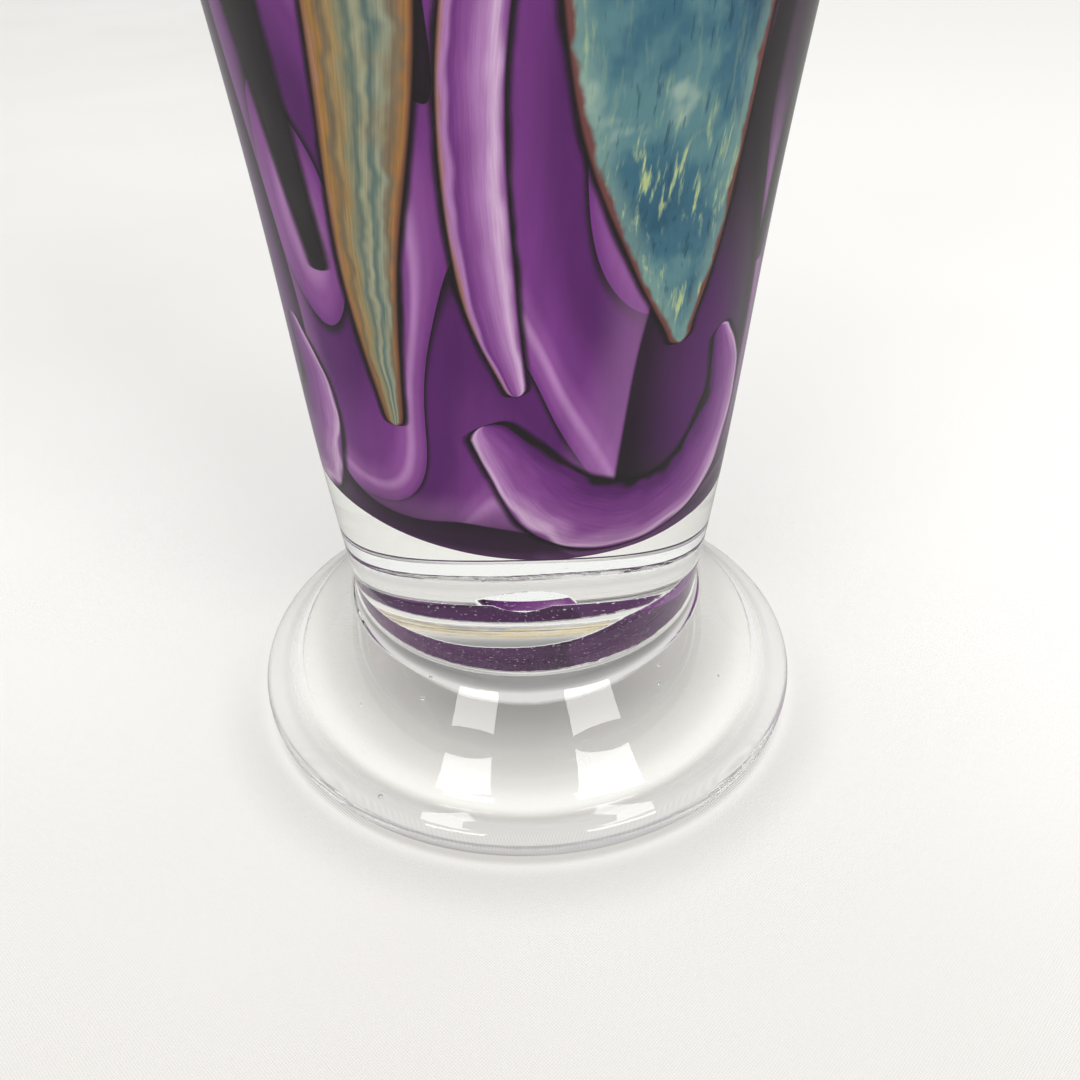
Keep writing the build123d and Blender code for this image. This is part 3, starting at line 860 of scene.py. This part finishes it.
def foot():
    """Domed clear foot with its fillet, its slope, its round rim and the hollow under it."""
    neck = JOINT_RADIUS + FOOT_COLLAR
    sweep = pi / 2 - FOOT_SLOPE
    centre = (neck + FOOT_FILLET, JOINT_HEIGHT)
    fillet = arc(centre, FOOT_FILLET, pi, pi + sweep, 20)
    rim_centre = (FOOT_RADIUS - RIM_ROUND, RIM_ROUND)
    rim = arc(rim_centre, RIM_ROUND, RIM_SHOULDER, -pi / 2, 26)
    down_slope = (cos(FOOT_SLOPE), -sin(FOOT_SLOPE))
    into_rim = (sin(RIM_SHOULDER), -cos(RIM_SHOULDER))
    top = hermite(fillet[-1], rim[0], down_slope, into_rim, 24)
    edge_run = 1 / sqrt(1 + HOLLOW_EDGE_SLOPE**2)
    at_edge = (-edge_run, HOLLOW_EDGE_SLOPE * edge_run)
    lean = CROWN_LEAN * atan2(HOLLOW_HEIGHT, CONTACT_INNER)
    at_crown = (-cos(lean), sin(lean))
    crown = (HOLLOW_CROWN, HOLLOW_HEIGHT * CROWN_HEIGHT)
    hollow = np.vstack(
        [
            hermite((CONTACT_INNER, 0), crown, at_edge, at_crown, 20),
            hermite(crown, (0, HOLLOW_HEIGHT), at_crown, (-1, 0), 20),
            [(0, HOLLOW_HEIGHT)],
        ]
    )
    face = np.where(DISC_RINGS < BOND_RING, JOINT_HEIGHT - BOND_GAP, JOINT_HEIGHT - RING_GAP)
    collar = (neck - COLLAR_EDGE, JOINT_HEIGHT - COLLAR_GAP)
    section = np.vstack([np.column_stack([DISC_RINGS, face]), [collar], fillet, top[1:], rim, hollow])
    section[:, 1] = np.maximum(section[:, 1], FLOOR_CLEARANCE)
    obj = lathe("foot_glass", section[::-1], DISC_SEGMENTS)
    mark_bond(obj, JOINT_HEIGHT - BOND_GAP - ON_FACE, JOINT_HEIGHT)
    return obj


# Seeds left in the foot's glass: turn to the right of the front in degrees, then radius, height, half width
# and half height in millimetres.
SEEDS = [
    (-30, 44.7, 27.5, 0.5, 0.3),
    (-30, 48.4, 23.9, 0.6, 0.35),
    (-31, 66.1, 7.9, 0.6, 0.25),
    (41, 46.4, 25.9, 0.5, 0.3),
    (38, 48.9, 23.4, 0.45, 0.3),
    (57, 54.9, 17.1, 0.3, 0.3),
    (-47, 54.3, 17.7, 0.22, 0.55),
]
SEED_RINGS = 8
SEED_SEGMENTS = 16


def seeds():
    """Small bubbles in the foot's glass. Their faces look inwards, because the glass is round them."""
    vertices = []
    faces = []
    for turn, radius, height, half_wide, half_high in SEEDS:
        centre = np.array([radius * sin(radians(turn)), -radius * cos(radians(turn)), height]) / 1000
        first = len(vertices)
        vertices.append(tuple(centre - [0, 0, half_high / 1000]))
        for ring in range(1, SEED_RINGS):
            rise = pi * ring / SEED_RINGS
            for k in range(SEED_SEGMENTS):
                around = 2 * pi * k / SEED_SEGMENTS
                reach = sin(rise) * half_wide
                offset = np.array([cos(around) * reach, sin(around) * reach, -cos(rise) * half_high]) / 1000
                vertices.append(tuple(centre + offset))
        vertices.append(tuple(centre + [0, 0, half_high / 1000]))
        last = len(vertices) - 1
        last_ring = last - SEED_SEGMENTS
        for k in range(SEED_SEGMENTS):
            n = (k + 1) % SEED_SEGMENTS
            faces.append((first, first + 1 + k, first + 1 + n))
            faces.append((last, last_ring + n, last_ring + k))
            for ring in range(SEED_RINGS - 2):
                a = first + 1 + ring * SEED_SEGMENTS
                b = a + SEED_SEGMENTS
                faces.append((a + k, b + k, b + n, a + n))
    return add_mesh("foot_seeds", vertices, faces)


foot_glass = clear_glass("clear_glass_foot", hollow=True)
casing_glass = clear_glass("clear_glass_casing", tint=(0.978, 0.993, 0.955))
bond_glass = clear_glass("clear_glass_bond", tint=(0.985, 0.993, 0.97), bonded=True)
lining = clear_glass("lining_glass", tint=(0.96, 0.96, 0.97))
dress(casing(), ["clear_casing"], SLOTS["clear_casing"], casing_glass, bond_glass)
dress(foot(), ["foot"], SLOTS["foot"], foot_glass, bond_glass)
dress(seeds(), ["foot"], SLOTS["foot"], clear_glass("clear_glass_seed"))
dress(
    lathe(
        "inner_gather_glass",
        shell_section(
            wall(GATHER_INSET, GATHER_BOTTOM - SINK, GATHER_CORNER + SINK, sink=-SINK),
            wall(TOTAL_WALL, GATHER_BOTTOM + GATHER_FLOOR, GATHER_CORNER - GATHER_THICKNESS),
            (GATHER_INSET, TOTAL_WALL),
        ),
    ),
    ["inner_gather"], SLOTS["inner_gather"], lining,
)
dress(
    lathe(
        "dark_ground_glass",
        shell_section(
            wall(GROUND_INSET, GROUND_BOTTOM, GROUND_CORNER),
            wall(GATHER_INSET, GATHER_BOTTOM, GATHER_CORNER),
            (GROUND_INSET, GATHER_INSET),
        ),
    ),
    ["dark_ground"], SLOTS["dark_ground"], dark_glass("aubergine_glass", AUBERGINE),
)
dress(
    lathe(
        "purple_field_glass",
        shell_section(
            wall(CASING_WALL, COLOUR_BOTTOM, BUBBLE_CORNER),
            wall(GROUND_INSET, GROUND_BOTTOM, GROUND_CORNER),
            (CASING_WALL, GROUND_INSET),
        ),
    ),
    ["purple_field"], SLOTS["purple_field"], purple_field(),
)

# Coloured pieces, drawn flat as seen from outside, from the upper end to the lower end: across in
# millimetres, share of the coloured height, half width in millimetres.
OUTLINES = {
    "teal_panel": [
        (4, 0.93, 5), (0, 0.80, 15), (-3, 0.60, 20), (-2, 0.42, 17), (2, 0.30, 10), (4, 0.23, 3),
    ],
    "amber_feather": [
        (-6, 0.96, 3), (-1, 0.84, 7), (3, 0.66, 10), (0, 0.46, 9), (-5, 0.30, 6), (-4, 0.17, 2),
    ],
    "lavender_cane": [
        (3, 0.96, 2), (-3, 0.80, 3.4), (2, 0.60, 4.2), (-3, 0.42, 5), (-2, 0.29, 4.6), (2, 0.21, 2),
    ],
    "violet_scroll": [
        (-26, 0.16, 4), (-15, 0.095, 8), (1, 0.07, 9.5), (15, 0.10, 8.5), (21, 0.165, 6), (18, 0.215, 3),
    ],
    "black_streak": [
        (2, 0.95, 2), (5, 0.80, 4), (1, 0.64, 5.5), (-3, 0.50, 4.5), (0, 0.38, 3), (3, 0.29, 1.5),
    ],
}
# Name, direction in degrees from the front, mirrored or not, shift up as a share of the coloured height.
LAYOUT = [
    ("teal_panel_front", 32, False, 0.01),
    ("teal_panel_rear", 152, False, -0.02),
    ("teal_panel_left", 268, False, 0.03),
    ("amber_feather_front", -26, False, 0.0),
    ("amber_feather_right", 95, True, -0.03),
    ("amber_feather_rear", 214, False, 0.02),
    ("lavender_cane_front", -4, False, 0.0),
    ("lavender_cane_right", 119, False, 0.0),
    ("lavender_cane_rear", 235, True, -0.01),
    ("violet_scroll_front", 30, False, 0.0),
    ("violet_scroll_rear", 158, True, 0.0),
    ("violet_scroll_left", 272, False, 0.0),
    ("black_streak_front", -50, False, 0.0),
    ("black_streak_right", 71, True, -0.02),
    ("black_streak_rear", 190, False, 0.02),
]
RIBBON_GLASS = {
    "teal_panel": teal_glass(),
    "amber_feather": amber_glass(),
    "lavender_cane": fold_glass(
        "lavender_glass",
        (0.0, VIOLET), (0.16, PALE_LAVENDER), (0.34, LAVENDER), (0.62, VIOLET),
        (0.80, PURPLE), (0.90, LAVENDER), (1.0, colour(150, 104, 92)),
        streak=0.3, drift=0.12,
    ),
    "violet_scroll": fold_glass(
        "violet_glass",
        (0.0, BLACK), (0.10, DEEP_PURPLE), (0.34, PURPLE), (0.62, VIOLET),
        (0.84, LAVENDER), (0.94, PALE_LAVENDER), (1.0, VIOLET),
    ),
    "black_streak": dark_glass("black_glass", BLACK, ribbon_edge=True),
}


def flat_points(outline, lift):
    """An outline's points as (across, z, half width) in metres."""
    raised = [(x, COLOUR_BOTTOM + COLOUR_HEIGHT * (share + lift), half) for x, share, half in outline]
    return [(x / 1000, z, half / 1000) for x, z, half in raised]


for node, direction, mirrored, lift in LAYOUT:
    kind = "_".join(node.split("_")[:2])
    piece = ribbon(node + "_ribbon", flat_points(OUTLINES[kind], lift), direction, mirrored)
    dress(piece, [node], SLOTS[node], RIBBON_GLASS[kind])

# ---------------------------------------------------------------- floor, light, camera
FLOOR_SIZE = 8.0


def cloth():
    """Pale woven cloth. Its tones are partly painted light and shade: darker in front, brighter on the right,
    brighter and darker where the foot gathers and takes away light, and dim in reflections.
    """
    shader = Shader("pale_cloth")
    x, y, _ = shader.split(shader.place())
    radius = shader.radius()
    threads = weave(shader)
    tone = shader.noise(shader.place(), 5.0, 2.0)
    # Painted shade and light: the cloth is darker in front of the vase and paler behind it.
    front = shader.ramp(tone, (0.3, (0.715, 0.693, 0.658)), (0.7, (0.745, 0.727, 0.692)))
    back = shader.ramp(tone, (0.3, (0.90, 0.885, 0.86)), (0.7, (0.93, 0.925, 0.905)))
    base = shader.mix(shader.step(y, -0.22, 0.04), front, back)
    # Painted light: the cloth under the foot's left and right sides is paler, for light that the glass lets
    # down there.
    painted_light_beside = shader.both(
        shader.step(shader.math("ABSOLUTE", x), 0.028, 0.050),
        shader.step(radius, FOOT_RADIUS - 0.001, FOOT_RADIUS - 0.005),
    )
    base = shader.mix(shader.both(painted_light_beside, 0.5), base, (0.97, 0.955, 0.92))
    # Painted light: the cloth is brighter towards the right, away from the front.
    painted_light_right = shader.both(shader.step(x, 0.02, 0.20), shader.step(y, -0.16, 0.06))
    base = shader.mix(painted_light_right, base, (0.99, 0.98, 0.955))
    # Painted light: a paler ring just inside the contact ring, for light that the foot gathers onto the cloth.
    painted_caustic_ring = shader.both(
        shader.step(radius, CONTACT_INNER - 0.012, CONTACT_INNER - 0.004),
        shader.step(radius, CONTACT_INNER + 0.0005, CONTACT_INNER - 0.0015),
    )
    base = shader.mix(painted_caustic_ring, base, (1.0, 1.0, 0.965))
    # Painted shadow: a soft dark ring on the cloth round the foot's front edge.
    painted_shadow_ring = shader.both(
        shader.step(radius, FOOT_RADIUS + 0.017, FOOT_RADIUS + 0.004),
        shader.step(radius, FOOT_RADIUS, FOOT_RADIUS + 0.004),
    )
    shadow = shader.both(shader.both(painted_shadow_ring, shader.step(y, 0.02, -0.05)), 0.14)
    base = shader.mix(shadow, base, (0.10, 0.10, 0.08))
    # The weave darkens the cloth a little everywhere. Under the contact ring at the front its dark threads are
    # deepened as painted shade.
    painted_shade_under_ring = shader.both(
        shader.step(radius, CONTACT_INNER - 0.003, CONTACT_INNER),
        shader.step(radius, FOOT_RADIUS + 0.001, FOOT_RADIUS - 0.001),
    )
    pressed = shader.both(painted_shade_under_ring, shader.step(y, -0.015, -0.045))
    thread_and_painted_shade = shader.mix(pressed, (0.95, 0.95, 0.94), (0.45, 0.44, 0.42))
    darker = shader.mix(1.0, base, thread_and_painted_shade, "MULTIPLY")
    base = shader.mix(shader.math("MULTIPLY_ADD", threads, 0.5, 0.5), darker, base)
    bump = shader.node("Bump", {"Strength": 0.25, "Distance": 0.0002, "Height": threads})
    look = {"Base Color": base, "Roughness": 0.9, "Specular IOR Level": 0.1, "Normal": bump}
    surface = shader.node("BsdfPrincipled", look)
    # Painted shade in reflections: seen mirrored, the cloth shows as a dim grey.
    painted_dim_reflection = shader.node("BsdfDiffuse", {"Color": (0.36, 0.355, 0.345, 1)})
    return shader.finish(shader.node("MixShader", {0: shader.mirrored(), 1: surface, 2: painted_dim_reflection}))


floor = add_mesh(
    "floor",
    [(x * FLOOR_SIZE / 2, y * FLOOR_SIZE / 2, 0) for x, y in ((-1, -1), (1, -1), (1, 1), (-1, 1))],
    [(0, 1, 2, 3)],
)
floor.data.materials.append(cloth())


LAMP_DISTANCE = 1.4
LAMP_AIM = Vector((0, -0.045, 0.02))


def lamp(name, azimuth, elevation, wide, high, roll, radiance):
    """Soft box that fills the given angles as the foot sees it, azimuth from the front towards the right."""
    turn, rise = radians(azimuth), radians(elevation)
    away = Vector((sin(turn) * cos(rise), -cos(turn) * cos(rise), sin(rise)))
    data = bpy.data.lights.new(name, "AREA")
    data.shape = "RECTANGLE"
    data.size = 2 * LAMP_DISTANCE * cos(rise) * sin(radians(wide / 2))
    data.size_y = 2 * LAMP_DISTANCE * sin(radians(high / 2))
    data.energy = radiance * pi * data.size * data.size_y
    data.color = (1.0, 0.99, 0.975)
    obj = bpy.data.objects.new(name, data)
    bpy.context.scene.collection.objects.link(obj)
    obj.location = LAMP_AIM + away * LAMP_DISTANCE
    facing = (-away).to_track_quat("-Z", "Y").to_matrix()
    obj.rotation_euler = (facing @ Matrix.Rotation(radians(roll), 3, "Z")).to_euler()


# Azimuth, elevation, width, height and roll in degrees, then radiance.
lamp("soft_box_left", -33, 43.2, 26, 9.4, 12, 7.6)
lamp("soft_box_right", 39, 43.6, 31, 12.6, -13.5, 7.8)
lamp("soft_box_upper_left", -48, 60.5, 28, 5.5, 0, 6.2)
lamp("soft_box_upper_right", 51, 58.5, 32, 5.5, 0, 6.2)

ROOM_LIGHT = 0.92
SEEN_LIGHT = 1.0
MIRRORED_DROP = 0.42


def room():
    """Even pale light. It is white where it is seen directly or through glass, and dimmer in reflections."""
    world = bpy.data.worlds.new("studio")
    nodes = Nodes(world)
    seen = nodes.math("MAXIMUM", nodes.ray("Camera"), nodes.ray("Transmission"))
    lit = nodes.node("MapRange", {"Value": seen, "To Min": ROOM_LIGHT, "To Max": SEEN_LIGHT})
    strength = nodes.math("MULTIPLY_ADD", nodes.mirrored(), -MIRRORED_DROP, lit)
    backdrop = nodes.node("Background", {"Color": (0.99, 0.99, 0.995, 1), "Strength": strength})
    nodes.end("OutputWorld", backdrop)
    return world


bpy.context.scene.world = room()

CAMERA_PLACE = Vector((0.0, -0.208265, 0.186521))
CAMERA_PITCH, CAMERA_YAW, CAMERA_ROLL = 0.61978, 0.01802, -0.01309
LENS, SENSOR_WIDTH = 33.33, 36.0
CLIP_START = 0.01
level = cos(CAMERA_PITCH)
forward = Vector((sin(CAMERA_YAW) * level, cos(CAMERA_YAW) * level, -sin(CAMERA_PITCH)))
right = Vector((cos(CAMERA_YAW), -sin(CAMERA_YAW), 0))
up = right.cross(forward)
camera_right = cos(CAMERA_ROLL) * right + sin(CAMERA_ROLL) * up
camera_up = cos(CAMERA_ROLL) * up - sin(CAMERA_ROLL) * right
camera_turn = Matrix((camera_right, camera_up, -forward)).transposed()
lens = bpy.data.cameras.new("camera")
lens.lens = LENS
lens.sensor_width = SENSOR_WIDTH
lens.clip_start = CLIP_START
camera = bpy.data.objects.new("camera", lens)
bpy.context.scene.collection.objects.link(camera)
camera.matrix_world = Matrix.Translation(CAMERA_PLACE) @ camera_turn.to_4x4()
bpy.context.scene.camera = camera
bpy.context.scene.view_settings.view_transform = "Standard"
